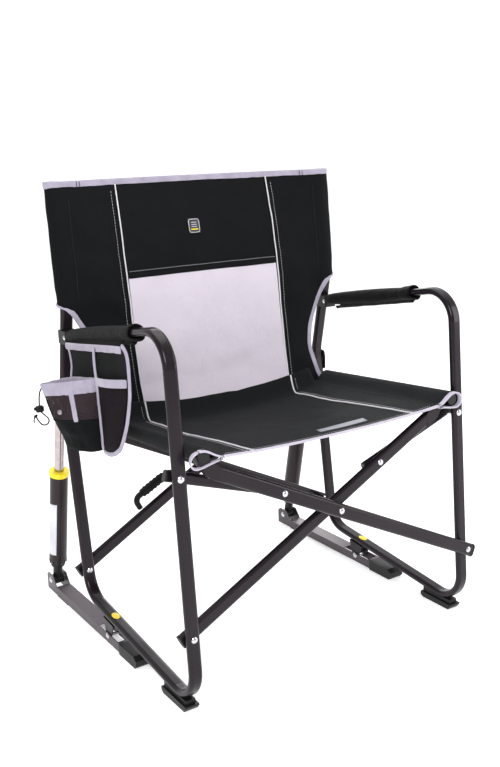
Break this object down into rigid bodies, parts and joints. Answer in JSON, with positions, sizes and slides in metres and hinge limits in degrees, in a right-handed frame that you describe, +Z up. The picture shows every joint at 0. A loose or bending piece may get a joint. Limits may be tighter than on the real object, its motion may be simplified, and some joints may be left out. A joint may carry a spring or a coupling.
{
  "type": "folding camp rocking chair",
  "caption": "Folding camp rocking chair: two bent side frames on hinged floor bars with spring dampers, a folding cross frame and a cloth sling seat.",
  "frame": {"origin": "on the floor, at the middle of the chair's bounding box", "axes": "+Z up; the sitter faces -Y; +X is on the sitter's left"},
  "size_m": [0.8249, 0.6955, 0.9578],
  "materials": {
    "frame_paint": "satin metallic powder coat",
    "black_plastic": "moulded",
    "rubber": "matt",
    "nickel": "bright plated",
    "pad_cloth": "padded woven polyester",
    "barrel_black": "satin black",
    "yellow_plastic": "moulded",
    "spring_steel": "plain",
    "chrome": "polished",
    "dark_cloth": "coated polyester, fine weave",
    "pale_cloth": "padded woven polyester",
    "net": "open mesh",
    "cord": "braided"
  },
  "bodies": {
    "left_bar": {"foot_bar_left": "frame_paint", "bar_shoe_left": "black_plastic", "bar_pad_left": "rubber", "bar_pins_left": "nickel"},
    "left_frame": {"side_frame_left": "frame_paint", "post_cap_left": "black_plastic", "arm_socket_left": "black_plastic", "arm_pad_left": "pad_cloth", "front_foot_left": "black_plastic", "rock_bracket_left": "frame_paint", "rod_bracket_left": "frame_paint", "frame_bolts_left": "nickel", "hinge_rivets_left": "nickel", "seat_fabric": "dark_cloth", "back_fabric": "dark_cloth", "back_panel": "pale_cloth", "pocket_panel": "dark_cloth", "net_pocket": "net", "cup_holder": "net", "drawcord": "cord", "cord_lock": "black_plastic", "cord_knot": "cord"},
    "left_barrel": {"damper_barrel_left": "barrel_black", "damper_knuckle_left": "black_plastic", "damper_collar_left": "yellow_plastic", "damper_spring_left": "spring_steel"},
    "left_rod": {"piston_rod_left": "chrome"},
    "half_a": {"tubes_a": "frame_paint", "plugs_a": "black_plastic", "saddles_a": "black_plastic", "seat_rail_right": "frame_paint", "carry_handle": "black_plastic", "centre_rivets": "nickel"},
    "half_b": {"tubes_b": "frame_paint", "plugs_b": "black_plastic", "saddles_b": "black_plastic", "seat_rail_left": "frame_paint", "tube_rivet_b": "nickel"},
    "left_link": {"link_left": "frame_paint", "link_ends_left": "black_plastic"},
    "right_link": {"link_right": "frame_paint", "link_ends_right": "black_plastic"},
    "right_frame": {"side_frame_right": "frame_paint", "post_cap_right": "black_plastic", "arm_socket_right": "black_plastic", "arm_pad_right": "pad_cloth", "front_foot_right": "black_plastic", "rock_bracket_right": "frame_paint", "rod_bracket_right": "frame_paint", "frame_bolts_right": "nickel", "hinge_rivets_right": "nickel"},
    "right_bar": {"foot_bar_right": "frame_paint", "bar_shoe_right": "black_plastic", "bar_pad_right": "rubber", "bar_pins_right": "nickel"},
    "right_barrel": {"damper_barrel_right": "barrel_black", "damper_knuckle_right": "black_plastic", "damper_collar_right": "yellow_plastic", "damper_spring_right": "spring_steel"},
    "right_rod": {"piston_rod_right": "chrome"}
  },
  "joints": [
    {"name": "rock", "type": "hinge", "parent": "left_bar", "child": "left_frame", "pos_m": [-0.296, 0.018, 0.017], "axis": [-1, 0, 0], "range_deg": [0, 10], "stiffness_Nm_per_rad": 60, "springref_deg": -2.86},
    {"name": "left_damper_tilt", "type": "hinge", "parent": "left_bar", "child": "left_barrel", "pos_m": [-0.296, 0.326, 0.028], "axis": [-1, 0, 0], "range_deg": [-0.3, 9.59]},
    {"name": "left_damper_slide", "type": "slide", "parent": "left_barrel", "child": "left_rod", "axis": [0, -0.2174, 0.9761], "range_m": [-0.05444, 0.0005], "deforming": ["damper_spring_left"]},
    {"name": "fold", "type": "hinge", "parent": "left_frame", "child": "half_a", "pos_m": [-0.296, -0.32107, 0.15349], "axis": [0, -0.9976, 0.0698], "range_deg": [0, 55], "deforming": ["seat_fabric", "back_fabric", "back_panel"]},
    {"name": "centre_hinge", "type": "hinge", "parent": "half_a", "child": "half_b", "pos_m": [0.042, -0.30942, 0.32008], "axis": [0, -0.9976, 0.0698], "range_deg": [-110.5, 0.5]},
    {"name": "right_hinge", "type": "hinge", "parent": "half_b", "child": "right_frame", "pos_m": [0.38, -0.32107, 0.15349], "axis": [0, -0.9976, 0.0698], "range_deg": [-0.5, 55.5]},
    {"name": "left_link_hinge", "type": "hinge", "parent": "left_frame", "child": "left_link", "pos_m": [-0.296, -0.28361, 0.45261], "axis": [0, -0.9976, 0.0698], "range_deg": [-0.5, 99.81]},
    {"name": "right_link_hinge", "type": "hinge", "parent": "right_frame", "child": "right_link", "pos_m": [0.38, -0.26865, 0.45156], "axis": [0, -0.9976, 0.0698], "range_deg": [-99.81, 0.5]},
    {"name": "right_bar_hinge", "type": "hinge", "parent": "right_frame", "child": "right_bar", "pos_m": [0.38, 0.018, 0.017], "axis": [-1, 0, 0], "range_deg": [-10.3, 0.3]},
    {"name": "right_damper_tilt", "type": "hinge", "parent": "right_bar", "child": "right_barrel", "pos_m": [0.38, 0.326, 0.028], "axis": [-1, 0, 0], "range_deg": [-0.3, 9.59]},
    {"name": "right_damper_slide", "type": "slide", "parent": "right_barrel", "child": "right_rod", "axis": [0, -0.2174, 0.9761], "range_m": [-0.05444, 0.0005], "deforming": ["damper_spring_right"]}
  ],
  "couplings": [
    {"joint": "centre_hinge", "follows": "fold", "ratio": -2},
    {"joint": "right_hinge", "follows": "fold", "ratio": 1},
    {"joint": "left_link_hinge", "follows": "fold", "ratio": 1.8056},
    {"joint": "right_link_hinge", "follows": "fold", "ratio": -1.8056},
    {"joint": "left_damper_tilt", "follows": "rock", "ratio": 0.92893},
    {"joint": "left_damper_slide", "follows": "rock", "m_per_rad": -0.3062},
    {"joint": "right_bar_hinge", "follows": "rock", "ratio": -1},
    {"joint": "right_damper_tilt", "follows": "rock", "ratio": 0.92893},
    {"joint": "right_damper_slide", "follows": "rock", "m_per_rad": -0.3062}
  ]
}
